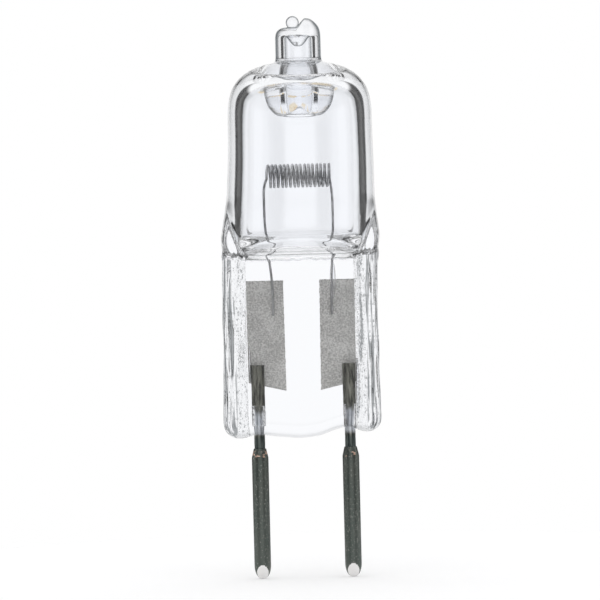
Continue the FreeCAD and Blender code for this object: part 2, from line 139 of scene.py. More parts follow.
def new_piece(name, shells, material):
    """Mesh object in metres from shells, each a grid of rings in millimetres and whether it faces inwards.

    The doubled points of poles and flat ends are merged.
    """
    points = []
    faces = []
    for rings, inward in shells:
        start = sum(len(shell) for shell in points)
        faces.append(ring_faces(rings.shape[0], rings.shape[1], start, inward))
        points.append(rings.reshape(-1, 3))
    mesh = bpy.data.meshes.new(name)
    mesh.from_pydata((np.concatenate(points) * MM).tolist(), [], np.concatenate(faces).tolist())
    joined = bmesh.new()
    joined.from_mesh(mesh)
    bmesh.ops.remove_doubles(joined, verts=joined.verts, dist=1e-8)
    bmesh.ops.dissolve_degenerate(joined, edges=joined.edges, dist=1e-9)
    joined.to_mesh(mesh)
    joined.free()
    mesh.shade_smooth()
    mesh.materials.append(material)
    piece = bpy.data.objects.new(name, mesh)
    bpy.context.scene.collection.objects.link(piece)
    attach(piece, "root")
    return piece


def new_material(name):
    """Material of that name, its node tree and its principled shader."""
    material = bpy.data.materials.new(name)
    material.use_nodes = True
    return material, material.node_tree, material.node_tree.nodes["Principled BSDF"]


def place_in_mm(tree):
    """Object coordinates in millimetres."""
    scaled = tree.nodes.new("ShaderNodeVectorMath")
    scaled.operation = "SCALE"
    scaled.inputs["Scale"].default_value = 1.0 / MM
    tree.links.new(tree.nodes.new("ShaderNodeTexCoord").outputs["Object"], scaled.inputs[0])
    return scaled.outputs[0]


def grain_group():
    """Node group for cloudy noise from nought to one, with so many grains to the millimetre on each axis."""
    group = bpy.data.node_groups.new("surface_grain", "ShaderNodeTree")
    group.interface.new_socket("Place", in_out="INPUT", socket_type="NodeSocketVector")
    group.interface.new_socket("Grains", in_out="INPUT", socket_type="NodeSocketVector")
    group.interface.new_socket("Detail", in_out="INPUT", socket_type="NodeSocketFloat")
    group.interface.new_socket("Cloud", in_out="OUTPUT", socket_type="NodeSocketFloat")
    entry = group.nodes.new("NodeGroupInput")
    stretched = group.nodes.new("ShaderNodeVectorMath")
    stretched.operation = "MULTIPLY"
    noise = group.nodes.new("ShaderNodeTexNoise")
    noise.inputs["Scale"].default_value = 1.0
    group.links.new(entry.outputs["Place"], stretched.inputs[0])
    group.links.new(entry.outputs["Grains"], stretched.inputs[1])
    group.links.new(entry.outputs["Detail"], noise.inputs["Detail"])
    group.links.new(stretched.outputs[0], noise.inputs["Vector"])
    group.links.new(noise.outputs["Fac"], group.nodes.new("NodeGroupOutput").inputs["Cloud"])
    return group


SURFACE_GRAIN = grain_group()


def grain(tree, place, grains, detail):
    """The shared grain placed in a material, with its own number of grains and detail."""
    node = tree.nodes.new("ShaderNodeGroup")
    node.node_tree = SURFACE_GRAIN
    node.inputs["Grains"].default_value = grains
    node.inputs["Detail"].default_value = detail
    tree.links.new(place, node.inputs["Place"])
    return node.outputs["Cloud"]


def stepped(tree, value, start, stop):
    """Smooth step of a value from zero at the start to one at the stop."""
    node = tree.nodes.new("ShaderNodeMapRange")
    node.interpolation_type = "SMOOTHSTEP"
    node.inputs["From Min"].default_value = start
    node.inputs["From Max"].default_value = stop
    tree.links.new(value, node.inputs["Value"])
    return node.outputs["Result"]


def blend(tree, share, first, second):
    """Colour between two colours, each written out or another node's output."""
    node = tree.nodes.new("ShaderNodeMix")
    node.data_type = "RGBA"
    tree.links.new(share, node.inputs[0])
    for socket, colour in ((node.inputs[6], first), (node.inputs[7], second)):
        if isinstance(colour, tuple):
            socket.default_value = (*colour, 1.0)
        else:
            tree.links.new(colour, socket)
    return node.outputs[2]


tungsten, tungsten_tree, tungsten_shader = new_material("drawn_tungsten")
wire_marks = grain(tungsten_tree, place_in_mm(tungsten_tree), TUNGSTEN_GRAINS, 2.0)
wire_marks = stepped(tungsten_tree, wire_marks, 0.35, 0.65)
wire_colour = blend(tungsten_tree, wire_marks, TUNGSTEN_DARK, TUNGSTEN_BRIGHT)
tungsten_tree.links.new(wire_colour, tungsten_shader.inputs["Base Color"])
tungsten_shader.inputs["Metallic"].default_value = 1.0
tungsten_shader.inputs["Roughness"].default_value = TUNGSTEN_ROUGHNESS

coil, coil_turn = coil_line()
left_leg = leg_line(-1.0, LEFT_SPREAD, LEFT_FOOT)
right_leg = leg_line(1.0, RIGHT_SPREAD, RIGHT_FOOT)[::-1]
wire_line = np.concatenate((left_leg, coil, right_leg))
wire_outward = np.concatenate((
    np.tile((0.0, -1.0, 0.0), (len(left_leg), 1)),
    np.stack((0.0 * coil_turn, -np.cos(coil_turn), np.sin(coil_turn)), axis=1),
    np.tile((0.0, 1.0, 0.0), (len(right_leg), 1)),
))
wire_rings = round_wire(wire_line, wire_outward, WIRE_RADIUS, WIRE_SIDES)
wire = new_piece("filament_wire", [(wire_rings, False)], tungsten)
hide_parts("filament")

# Foils: thin molybdenum ribbons rolled to a feather edge, each welded to the back of a leg and of a lead.
# They are sealed in the glass. Etching left them matt and grainy, and their cut lower ends slant.
SIDES = (("left", -1.0), ("right", 1.0))
FOIL_BOTTOM = UNDERSIDE + 3.29
FOIL_TOP = UNDERSIDE + 11.0
FOIL_HALF_WIDTH = 1.31
FOIL_HALF_THICKNESS = 0.015
FOIL_SPACING = 5.16
FOIL_SLANT = 0.6
FOIL_LEAN = 0.06
FOIL_RAGGED = 0.03
FOIL_ROWS = 120
FOIL_AROUND = 96
ETCHED_DARK = (0.5, 0.49, 0.47)
ETCHED_BRIGHT = (0.95, 0.94, 0.91)
ETCHED_GRAINS = (8.5, 8.5, 8.5)
ETCHED_DEPTH = 0.02
ETCHED_ROUGHNESS = 0.55
PATCH_GRAINS = (0.9, 0.9, 0.7)
PATCH_SHARE = 0.35


def wander(first, second):
    """Uneven wave from minus one to one: four sines of unlike length and slant, added up."""
    waves = (np.sin(2.3 * first + 0.7 * second) + np.sin(4.1 * first - 1.3 * second + 1.1)
             + np.sin(7.7 * first + 2.1 * second + 2.7) + np.sin(12.3 * first - 0.4 * second + 0.5))
    return waves / 4.0


def ring_table(width, depth, height, power, shift):
    """Rows for ring_grid, one for each ring, from arrays or single values."""
    return np.stack(np.broadcast_arrays(width, depth, height, power, shift), axis=1)


def ring_grid(rows, around):
    """Rings from rows of half width, half depth, height, power and shift across.

    A ring runs once round in even angles: across is the half width times the cosine, and depth is the half
    depth times the square root of one less the cosine raised to the power, so a power of two is an ellipse
    and six a flat bar.
    """
    angle = np.linspace(0.0, 2.0 * np.pi, around, endpoint=False)
    width, depth, height, power, shift = (rows[:, column, None] for column in range(5))
    across = np.cos(angle)[None, :] * np.ones_like(width)
    thick = np.sqrt(np.clip(1.0 - np.abs(across) ** power, 0.0, 1.0)) * np.sign(np.sin(angle))[None, :]
    thick[:, np.isclose(np.sin(angle), 0.0, atol=1e-9)] = 0.0
    return np.stack((shift + width * across, depth * thick, height + 0.0 * across), axis=2)


def foil_rings(side):
    """Flat rings up the ribbon: half width with a ragged edge, and a lens-shaped thickness across it.

    The lower end rises to the outer side by the slant, which fades with the cube of the way up. The upper
    end is a little ragged.
    """
    height = np.linspace(FOIL_BOTTOM, FOIL_TOP, FOIL_ROWS)
    ragged = FOIL_RAGGED * wander(3.0 * height + side, 1.7 * height)
    lean = FOIL_LEAN * side * (height - FOIL_TOP) / (FOIL_TOP - FOIL_BOTTOM)
    thick = np.full(FOIL_ROWS, FOIL_HALF_THICKNESS)
    thick[[0, -1]] = 0.0
    middle = side * FOIL_SPACING / 2.0
    rings = ring_grid(ring_table(FOIL_HALF_WIDTH + ragged, thick, height, 2.0, middle + lean), FOIL_AROUND)
    outer = side * (rings[..., 0] - middle) / FOIL_HALF_WIDTH
    low = 1.0 - (rings[..., 2] - FOIL_BOTTOM) / (FOIL_TOP - FOIL_BOTTOM)
    rings[..., 2] += FOIL_SLANT * (0.5 + 0.5 * outer) * low**3
    rings[..., 2] += FOIL_RAGGED * wander(5.0 * rings[..., 0], 2.0) * (1.0 - low) ** 12
    rings[..., 1] += FOIL_FRONT + FOIL_HALF_THICKNESS
    return rings


def math_node(tree, operation, *values):
    """Output of one sum on one to three values, each a number or another node's output."""
    node = tree.nodes.new("ShaderNodeMath")
    node.operation = operation
    for socket, value in zip(node.inputs, values):
        if isinstance(value, (int, float)):
            socket.default_value = value
        else:
            tree.links.new(value, socket)
    return node.outputs[0]


def roughened(tree, shader, height, depth, strength):
    """Bump of the given depth in millimetres on a shader's normal."""
    bump = tree.nodes.new("ShaderNodeBump")
    bump.inputs["Strength"].default_value = strength
    bump.inputs["Distance"].default_value = depth * MM
    tree.links.new(height, bump.inputs["Height"])
    tree.links.new(bump.outputs["Normal"], shader.inputs["Normal"])


molybdenum, foil_tree, foil_shader = new_material("etched_molybdenum")
foil_place = place_in_mm(foil_tree)
etched = grain(foil_tree, foil_place, ETCHED_GRAINS, 4.0)
patches = grain(foil_tree, foil_place, PATCH_GRAINS, 2.0)
etched_tone = math_node(foil_tree, "SUBTRACT", etched, 0.18)
foil_tone = math_node(foil_tree, "MULTIPLY_ADD", patches, PATCH_SHARE, etched_tone)
foil_tone = stepped(foil_tree, foil_tone, 0.25, 0.75)
foil_colour = blend(foil_tree, foil_tone, ETCHED_DARK, ETCHED_BRIGHT)
foil_tree.links.new(foil_colour, foil_shader.inputs["Base Color"])
roughened(foil_tree, foil_shader, etched, ETCHED_DEPTH, 0.5)
foil_shader.inputs["Metallic"].default_value = 0.6
foil_shader.inputs["Roughness"].default_value = ETCHED_ROUGHNESS

for name, side in SIDES:
    foil = new_piece(f"foil_ribbon_{name}", [(foil_rings(side), False)], molybdenum)
    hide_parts(f"foil_{name}")

# Leads: round molybdenum wires, flattened at the top where they are welded to the foils.
# They leave the seal at its underside, and the pin sleeves are pressed onto them.
# Just inside the glass, along the air gap round them, they are painted a bright silver as a painted
# reflection of that gap, and above that a dull olive.
PIN_SPACING = 6.35
LEAD_RADIUS = 0.375
LEAD_SWELL = 0.08
LEAD_UNEVEN = 0.008
LEAD_TOP = UNDERSIDE + 5.11
LEAD_BOTTOM = -6.6
LEAD_ROWS = 90
LEAD_AROUND = 40
OLIVE_DARK = (0.035, 0.036, 0.028)
OLIVE_PALE = (0.3, 0.3, 0.25)
# Painted reflection: bright silver colours that stand in for the light the air gap round the lead throws
# back.
GAP_REFLECTION_DARK = (0.35, 0.38, 0.42)
GAP_REFLECTION_BRIGHT = (0.95, 0.97, 1.0)
BARE_DARK = (0.05, 0.062, 0.06)
BARE_PALE = (0.13, 0.15, 0.14)
DRAWN_GRAINS = (6.0, 6.0, 0.9)
DRAWN_DEPTH = 0.01
# Grains and ragged upper edge of the painted gap reflection.
GAP_REFLECTION_GRAINS = (1.6, 1.6, 1.0)
GAP_REFLECTION_RAGGED = 1.6
LEAD_ROUGHNESS = 0.35


def eased(value, start, stop):
    """Smooth step: zero up to the start, one from the stop on, and a cubic ease between them."""
    share = np.clip((value - start) / (stop - start), 0.0, 1.0)
    return share * share * (3.0 - 2.0 * share)


def turned_rows(radius, height, shift):
    """Rows of round rings of the given radius and height, about an upright axis at a shift across."""
    return ring_table(radius, radius, height, 2.0, shift)


def lead_rings(side):
    """Wire of slightly uneven radius that swells inside the glass, with its back cut flat at the top."""
    heights = np.linspace(LEAD_BOTTOM, LEAD_TOP, LEAD_ROWS)
    radius = LEAD_RADIUS + LEAD_UNEVEN * wander(1.1 * heights, 2.0 * side)
    radius += LEAD_SWELL * eased(heights, UNDERSIDE + 1.6, UNDERSIDE + 2.4)
    radius = np.concatenate(([0.0], radius, [0.0]))
    heights = np.concatenate(([LEAD_BOTTOM], heights, [LEAD_TOP]))
    rings = ring_grid(turned_rows(radius, heights, side * PIN_SPACING / 2.0), LEAD_AROUND)
    flat = eased(rings[..., 2], LEAD_TOP - 2.1, LEAD_TOP - 1.7)
    rings[..., 1] += flat * (np.minimum(rings[..., 1], FOIL_FRONT) - rings[..., 1])
    return rings


def parts_of(tree, vector):
    """The three parts of a vector: across, depth and height."""
    parts = tree.nodes.new("ShaderNodeSeparateXYZ")
    tree.links.new(vector, parts.inputs[0])
    return parts.outputs["X"], parts.outputs["Y"], parts.outputs["Z"]


def product(tree, first, *others):
    """All the values multiplied, in turn."""
    for other in others:
        first = math_node(tree, "MULTIPLY", first, other)
    return first


def fading(tree, value, start, stop):
    """Smooth step of a value from one at the start to zero at the stop."""
    return math_node(tree, "SUBTRACT", 1.0, stepped(tree, value, start, stop))


lead_metal, lead_tree, lead_shader = new_material("drawn_molybdenum")
lead_place = place_in_mm(lead_tree)
_, _, lead_height = parts_of(lead_tree, lead_place)
lead_marks = stepped(lead_tree, grain(lead_tree, lead_place, DRAWN_GRAINS, 3.0), 0.35, 0.7)
lead_cloud = grain(lead_tree, lead_place, GAP_REFLECTION_GRAINS, 3.0)
olive = blend(lead_tree, lead_marks, OLIVE_DARK, OLIVE_PALE)
# Painted reflection: the lead is painted bright silver just inside the glass, where the gap round it looks
# bright.
painted_gap_reflection = blend(lead_tree, lead_cloud, GAP_REFLECTION_DARK, GAP_REFLECTION_BRIGHT)
bare = blend(lead_tree, lead_marks, BARE_DARK, BARE_PALE)
gap_reflection_edge = math_node(lead_tree, "ADD", lead_height, product(lead_tree, lead_cloud, GAP_REFLECTION_RAGGED))
gap_reflection = product(lead_tree, stepped(lead_tree, lead_height, UNDERSIDE + 0.1, UNDERSIDE + 0.5),
                fading(lead_tree, gap_reflection_edge, UNDERSIDE + 2.3, UNDERSIDE + 3.0))
in_glass = stepped(lead_tree, lead_height, UNDERSIDE - 0.1, UNDERSIDE + 0.3)
lead_colour = blend(lead_tree, in_glass, bare, blend(lead_tree, gap_reflection, olive, painted_gap_reflection))
lead_tree.links.new(lead_colour, lead_shader.inputs["Base Color"])
roughened(lead_tree, lead_shader, lead_marks, DRAWN_DEPTH, 0.4)
lead_shader.inputs["Metallic"].default_value = 0.9
lead_shader.inputs["Roughness"].default_value = LEAD_ROUGHNESS

for name, side in SIDES:
    lead = new_piece(f"lead_wire_{name}", [(lead_rings(side), False)], lead_metal)
    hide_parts(f"lead_{name}")

# Quartz envelope: one piece of clear glass, a blown bulb with an exhaust stub, pressed flat round the foils.
# The mould left a shallow panel on each face between two rails with rough, drawn-out edges.
# The stub was melted off at the top, which left a small ball and a lump beside it.
SEAL_TOP = UNDERSIDE + 12.7
SEAL_HALF_WIDTH = 5.45
SEAL_HALF_DEPTH = 1.7
SEAL_POWER = 6.0
SEAL_SWAY = -0.12
PANEL_HALF_WIDTH = 3.95
PANEL_RECESS = 0.45
BRINK_WANDER = 0.1
RAIL_RIPPLE = 0.055
RAIL_WANDER = 0.008
GROOVE_PLACE = 4.75
GROOVE_HALF_WIDTH = 0.13
GROOVE_WANDER = 0.12
GROOVE_DEPTH = 0.1
JAW_POWER = 12.0
WING_POWER = 10.0
WING_OPENING = 14.0
NO_WING = 9.0
NECK_HEIGHT = UNDERSIDE + 15.9
NECK_RADIUS = 5.25
BULB_RADIUS = 5.05
BULB_SWAY = 0.19
DOME_FOOT = UNDERSIDE + 22.27
DOME_RISE = 4.0
DOME_POWER = 2.8
STUB_FOOT = UNDERSIDE + 26.2
STUB_TOP = UNDERSIDE + 28.6
STUB_RADIUS = 1.6
BALL_HEIGHT = UNDERSIDE + 29.03
BALL_RADIUS = 0.46
BALL_SHIFT = -0.36
LUMP_RISE = 0.62
CAVITY_FLOOR = SEAL_TOP + 0.8
CAVITY_SMILE = 0.1
FLOOR_SLANT = 0.09
WALL_RADIUS = 4.07
CEILING = UNDERSIDE + 24.75
BEAD_BOTTOM = UNDERSIDE + 22.5
BORE_RADIUS = 0.965
PLUG_EDGE = UNDERSIDE + 28.1
PLUG_DROP = 0.75
CHANNEL_RADIUS = 0.47
CHANNEL_UNEVEN = 0.02
CHANNEL_BOTTOM = UNDERSIDE + 0.9
CHANNEL_TOP = UNDERSIDE + 2.3
CHANNEL_ROWS = 40
CHANNEL_AROUND = 40
BUBBLES = (
    ((3.88, -0.3, UNDERSIDE + 3.4), (0.2, 0.3, 2.1)),
    ((-3.68, 0.0, UNDERSIDE + 5.2), (0.07, 0.16, 1.3)),
    ((2.22, 0.25, UNDERSIDE + 11.0), (0.2, 0.2, 1.3)),
)
BUBBLE_ROWS = 24
BUBBLE_AROUND = 28
AROUND_OUTSIDE = 256
AROUND_INSIDE = 128
GLASS_TINT = (0.957, 0.967, 0.988)
# Grey of the mould specks, rail streaks and deposit, and of the painted shade where glass is seen edge on.
MARK_AND_SHADE_GREY = (0.06, 0.07, 0.075)
AMBER = (0.85, 0.58, 0.22)
QUARTZ_IOR = 1.458
DOT_GRAINS = (7.5, 7.5, 5.0)
DOT_DEPTH = 0.08
LINE_GRAINS = (3.6, 3.6, 0.16)
# Grains of the amber tint's patches.
AMBER_RING_GRAINS = (0.8, 0.8, 0.8)
SPECK_STRENGTH = 0.85
SPECK_ROUGHNESS = 0.3
STREAK_STRENGTH = 0.92
SOOT_STRENGTH = 0.75
# Strength of the amber tint.
AMBER_RING_STRENGTH = 0.9
# Strengths of the painted edge shade.
EDGE_SHADE_STRENGTH = 0.22
BEAD_SHADE_STRENGTH = 0.8
FOOT_SHADE_STRENGTH = 0.4


def blurred(value, knots, heights, width):
    """Straight runs through the knots, averaged over a window of that width, so that corners become bends."""
    offsets = np.linspace(-0.5, 0.5, 9) * width
    return np.mean([np.interp(value + offset, knots, heights) for offset in offsets], axis=0)


def held_under(value, limit, power):
    """Soft limit: the value over one plus its share of the limit to the power, rooted by that power."""
    return value / (1.0 + (np.abs(value) / limit) ** power) ** (1.0 / power)


def sway(height):
    """How far the glass leans across: left in the seal, right in the bulb, and a soft run between them."""
    knots = [0.0, SEAL_TOP - 3.0, DOME_FOOT - 3.0, 40.0]
    return blurred(height, knots, [SEAL_SWAY, SEAL_SWAY, BULB_SWAY, BULB_SWAY], 2.0)


def glass_outside():
    """Rows of the outside, from the middle of the underside up to the top of the ball.

    The seal flares a little downwards, the bulb narrows upwards, and the dome's radius is one less its share
    of the rise raised to a power, rooted by that power. Corner cutting rounds the whole.
    """
    bottom = [
        (SEAL_HALF_WIDTH - SEAL_HALF_DEPTH, 0.0, UNDERSIDE, SEAL_POWER, 0.0),
        (SEAL_HALF_WIDTH - 1.1, 0.5, UNDERSIDE + 0.01, SEAL_POWER, 0.0),
        (SEAL_HALF_WIDTH - 0.5, 1.1, UNDERSIDE + 0.1, SEAL_POWER, 0.0),
        (SEAL_HALF_WIDTH - 0.05, 1.52, UNDERSIDE + 0.38, SEAL_POWER, 0.0),
        (SEAL_HALF_WIDTH + 0.1, SEAL_HALF_DEPTH, UNDERSIDE + 0.85, SEAL_POWER, 0.0),
    ]
    seal_heights = np.linspace(UNDERSIDE + 1.5, SEAL_TOP - 0.7, 14)
    flare = SEAL_HALF_WIDTH + 0.1 * (1.0 - eased(seal_heights, UNDERSIDE + 1.0, UNDERSIDE + 5.0))
    seal = ring_table(flare, SEAL_HALF_DEPTH, seal_heights, SEAL_POWER, 0.0)
    shoulder = [
        (SEAL_HALF_WIDTH, SEAL_HALF_DEPTH, SEAL_TOP - 0.2, SEAL_POWER, 0.0),
        (SEAL_HALF_WIDTH - 0.03, 1.75, SEAL_TOP + 0.1, 5.0, 0.0),
        (NECK_RADIUS + 0.08, 3.4, SEAL_TOP + 0.34, 3.0, 0.0),
        (NECK_RADIUS + 0.02, 5.1, SEAL_TOP + 0.58, 2.1, 0.0),
        (NECK_RADIUS + 0.02, NECK_RADIUS, SEAL_TOP + 0.85, 2.0, 0.0),
        (NECK_RADIUS + 0.01, NECK_RADIUS, SEAL_TOP + 1.5, 2.0, 0.0),
        (NECK_RADIUS, NECK_RADIUS, SEAL_TOP + 2.1, 2.0, 0.0),
        (NECK_RADIUS, NECK_RADIUS, NECK_HEIGHT, 2.0, 0.0),
    ]
    bulb_heights = np.linspace(NECK_HEIGHT + 0.8, DOME_FOOT, 8)
    narrowing = eased(bulb_heights, NECK_HEIGHT - 2.0, DOME_FOOT)
    bulb = turned_rows(NECK_RADIUS + (BULB_RADIUS - NECK_RADIUS) * narrowing, bulb_heights, 0.0)
    share = np.sin(np.linspace(0.12, 1.31, 15))
    dome_radius = BULB_RADIUS * (1.0 - share**DOME_POWER) ** (1.0 / DOME_POWER)
    dome = turned_rows(dome_radius, DOME_FOOT + DOME_RISE * share, 0.0)
    stub_radius, stub_height, stub_shift = np.transpose([
        (STUB_RADIUS + 0.12, STUB_FOOT + 0.02, 0.0),
        (STUB_RADIUS, STUB_FOOT + 0.25, 0.0),
        (STUB_RADIUS, STUB_FOOT + 0.9, 0.0),
        (STUB_RADIUS, STUB_TOP - 0.95, 0.0),
        (STUB_RADIUS - 0.01, STUB_TOP - 0.5, 0.0),
        (STUB_RADIUS - 0.12, STUB_TOP - 0.2, -0.02),
        (STUB_RADIUS - 0.4, STUB_TOP, -0.08),
        (STUB_RADIUS - 0.75, STUB_TOP + 0.07, -0.18),
        (0.55, STUB_TOP + 0.08, -0.28),
    ])
    stub = turned_rows(stub_radius, stub_height, stub_shift)
    turn = np.radians(np.linspace(-48.0, 90.0, 12))
    ball = turned_rows(BALL_RADIUS * np.cos(turn), BALL_HEIGHT + BALL_RADIUS * np.sin(turn), BALL_SHIFT)
    return corner_cut(np.concatenate((bottom, seal, shoulder, bulb, dome, stub, ball)), 2)


def melted_lump(across, height, half_width):
    """Rise of the melted tip: full on the right of the stub, less at its edge, none on the small ball."""
    on_tip = eased(height, STUB_TOP - 1.1, STUB_TOP - 0.05) * eased(half_width, 0.44, 0.62)
    lump = eased(across, -0.15, 0.55) * on_tip
    return LUMP_RISE * lump * (1.0 - 0.45 * eased(across, 0.75, 1.6))


def pressed_shoulder(across, depth, height):
    """Place across and depth once the bulb is pinched into the seal.

    Depth is held under the jaw's opening at that height. The ears then move the ends outwards, and beside the
    crease depth is held under the seal's own, so the bulb stands out between two flat wings.
    """
    rise = height - SEAL_TOP
    jaw = blurred(rise, [-0.1, 0.25, 0.57, 0.83, 1.06, 1.8], [2.0, 2.75, 3.8, 4.85, 6.3, 9.4], 0.22)
    depth = held_under(depth, jaw, JAW_POWER)
    ear = blurred(rise, [-0.3, 0.5, 1.2, 2.1, 3.0, 4.0], [0.0, 0.2, 0.32, 0.22, 0.09, 0.0], 0.8)
    end = np.cos(np.linspace(0.0, 2.0 * np.pi, AROUND_OUTSIDE, endpoint=False))[None, :]
    across = across + np.sign(end) * ear * eased(np.abs(end), 0.82, 1.0)
    crease = blurred(rise, [-1.0, 0.2, 0.9, 1.7, 2.6, 3.4, 5.0],
                     [3.9, 4.08, 4.34, 4.62, 4.9, 5.2, 6.5], 0.7)
    wing = SEAL_HALF_DEPTH + WING_OPENING * (1.0 - eased(np.abs(across), crease - 0.9, crease + 0.12))
    wing = np.where(height > SEAL_TOP - 0.2, wing, NO_WING)
    return across, held_under(depth, wing, WING_POWER)


def pressed_seal(across, depth, height):
    """Place across and depth of the seal with its panels and rails.

    Depth is scaled down on the panel, up and down by a wandering ripple round the rail, and down again in a
    narrow bell-shaped groove along the rail. The rail's place across wanders too.
    """
    side = np.abs(across)
    half = np.sign(across)
    brink = SEAL_TOP + BRINK_WANDER * wander(0.8 * across, 1.0)
    in_seal = 1.0 - eased(height - brink, -0.3, 0.3)
    panel = (1.0 - eased(side, PANEL_HALF_WIDTH - 0.2, PANEL_HALF_WIDTH + 0.5)) * in_seal
    rail = eased(side, PANEL_HALF_WIDTH - 0.1, PANEL_HALF_WIDTH + 0.3)
    rail = rail * (1.0 - eased(height, SEAL_TOP - 0.5, SEAL_TOP + 1.5))
    angle = np.arctan2(depth, side - PANEL_HALF_WIDTH + 0.2)
    ripple = wander(3.0 * angle + 1.9 * half, 0.55 * height)
    depth = depth * (1.0 - PANEL_RECESS / SEAL_HALF_DEPTH * panel) * (1.0 + RAIL_RIPPLE * rail * ripple)
    from_groove = side - GROOVE_PLACE - GROOVE_WANDER * np.sin(0.5 * height)
    groove = np.exp(-(from_groove / GROOVE_HALF_WIDTH) ** 2) * in_seal
    depth = depth * (1.0 - GROOVE_DEPTH * groove * (0.6 + 0.4 * np.sin(1.1 * height + half)))
    across = across * (1.0 + RAIL_WANDER * rail * wander(1.7 * angle + half, 0.8 * height + 2.0))
    return across, depth


def wavy_underside(across, height):
    """Lift of the underside: soft rises and dips across the seal, fading out above it."""
    lift = blurred(across, [-5.6, -5.0, -4.3, -3.2, -2.0, -0.2, 1.2, 2.4, 3.3, 4.1, 5.0, 5.6],
                   [0.1, 0.0, -0.05, 0.3, 0.12, -0.06, 0.08, 0.55, 0.7, 0.3, 0.2, 0.4], 0.9)
    return lift * (1.0 - eased(height, UNDERSIDE + 0.5, UNDERSIDE + 2.4))


def pressed_and_melted(rows):
    """Rings of the outside, moved by the melted tip, the pinch, the press, the underside and the sway."""
    across, depth, height = np.moveaxis(ring_grid(rows, AROUND_OUTSIDE), 2, 0)
    height = height + melted_lump(across, height, rows[:, :1])
    across, depth = pressed_shoulder(across, depth, height)
    across, depth = pressed_seal(across, depth, height)
    height = height + wavy_underside(across, height)
    return np.stack((across + sway(height), depth, height), axis=2)


def glass_inside():
    """Rows of the hollow: its pressed floor, the wall, the groove and bead, and the bore up to the plug."""
    floor = [
        (2.6, 0.0, CAVITY_FLOOR, 3.0, 0.0),
        (2.9, 0.9, CAVITY_FLOOR + 0.02, 2.7, 0.0),
        (3.2, 1.8, CAVITY_FLOOR + 0.08, 2.4, 0.0),
        (3.5, 2.6, CAVITY_FLOOR + 0.16, 2.2, 0.0),
        (3.78, 3.25, CAVITY_FLOOR + 0.25, 2.0, 0.0),
        (4.02, 3.75, CAVITY_FLOOR + 0.36, 2.0, 0.0),
        (WALL_RADIUS + 0.07, 4.02, CAVITY_FLOOR + 0.55, 2.0, 0.0),
        (WALL_RADIUS + 0.09, WALL_RADIUS + 0.06, CAVITY_FLOOR + 0.85, 2.0, 0.0),
        (WALL_RADIUS + 0.09, WALL_RADIUS + 0.08, CAVITY_FLOOR + 1.6, 2.0, 0.0),
        (WALL_RADIUS + 0.09, WALL_RADIUS + 0.08, CAVITY_FLOOR + 2.4, 2.0, 0.0),
    ]
    wall_heights = np.linspace(CAVITY_FLOOR + 3.6, CEILING - 2.6, 6)
    wall_radius = WALL_RADIUS + 0.09 - 0.14 * eased(wall_heights, CAVITY_FLOOR, CEILING)
    wall = turned_rows(wall_radius, wall_heights, 0.0)
    upper_radius, upper_height = np.transpose([
        (4.0, CEILING - 1.75), (3.88, CEILING - 1.05), (3.55, CEILING - 0.48), (3.05, CEILING - 0.12),
        (2.65, CEILING), (2.5, CEILING - 0.12), (2.5, CEILING - 0.5), (2.4, CEILING - 1.0),
        (2.25, CEILING - 1.5), (1.95, BEAD_BOTTOM + 0.35), (1.6, BEAD_BOTTOM + 0.05), (1.2, BEAD_BOTTOM),
        (BORE_RADIUS + 0.02, BEAD_BOTTOM + 0.1), (BORE_RADIUS, BEAD_BOTTOM + 0.45), (BORE_RADIUS, CEILING),
        (BORE_RADIUS, STUB_FOOT), (BORE_RADIUS, PLUG_EDGE - 0.6), (BORE_RADIUS, PLUG_EDGE),
        (0.8, PLUG_EDGE - 0.08), (0.55, PLUG_EDGE - 0.45), (0.25, PLUG_EDGE - PLUG_DROP),
        (0.0, PLUG_EDGE - PLUG_DROP),
    ])
    return corner_cut(np.concatenate((floor, wall, turned_rows(upper_radius, upper_height, 0.0))), 2)


def bent_floor(rings):
    """The floor of the hollow rises with the square of the way across and slants, and the hollow sways."""
    across, depth, height = np.moveaxis(rings, 2, 0)
    low = 1.0 - eased(height, CAVITY_FLOOR + 0.1, CAVITY_FLOOR + 1.0)
    height = height + (CAVITY_SMILE * (across / WALL_RADIUS) ** 2 + FLOOR_SLANT * depth) * low
    return np.stack((across + sway(height), depth, height), axis=2)


def bubble_rings(centre, reach):
    """Closed egg: sine of the polar angle times the side reaches, cosine times the upright reach."""
    polar = np.linspace(0.0, np.pi, BUBBLE_ROWS)
    girth = np.sin(polar)
    heights = centre[2] - reach[2] * np.cos(polar)
    rings = ring_grid(ring_table(reach[0] * girth, reach[1] * girth, heights, 2.0, centre[0]), BUBBLE_AROUND)
    rings[..., 1] += centre[1]
    return rings


def channel_rings(across):
    """Gap that the press left round a lead: a short tube of slightly uneven radius, closed at both ends."""
    heights = np.linspace(CHANNEL_BOTTOM, CHANNEL_TOP, CHANNEL_ROWS)
    radius = CHANNEL_RADIUS + CHANNEL_UNEVEN * wander(1.3 * heights, across)
    radius[[0, -1]] = 0.0
    return ring_grid(turned_rows(radius, heights, across), CHANNEL_AROUND)


def strongest(tree, first, *others):
    """The largest of the values."""
    for other in others:
        first = math_node(tree, "MAXIMUM", first, other)
    return first


def band(tree, value, rise, fall):
    """One between the rise and the fall of a value, each a smooth step from a start to a stop."""
    return math_node(tree, "SUBTRACT", stepped(tree, value, *rise), stepped(tree, value, *fall))


def distance(tree, first, second):
    """Root of the sum of two squares."""
    squares = math_node(tree, "ADD", product(tree, first, first), product(tree, second, second))
    return math_node(tree, "SQRT", squares)


quartz, quartz_tree, quartz_shader = new_material("clear_quartz")
glass_place = place_in_mm(quartz_tree)
glass_x, glass_y, glass_z = parts_of(quartz_tree, glass_place)
from_middle = math_node(quartz_tree, "ABSOLUTE", math_node(quartz_tree, "SUBTRACT", glass_x, SEAL_SWAY))
in_press = fading(quartz_tree, glass_z, SEAL_TOP - 0.3, SEAL_TOP + 0.5)

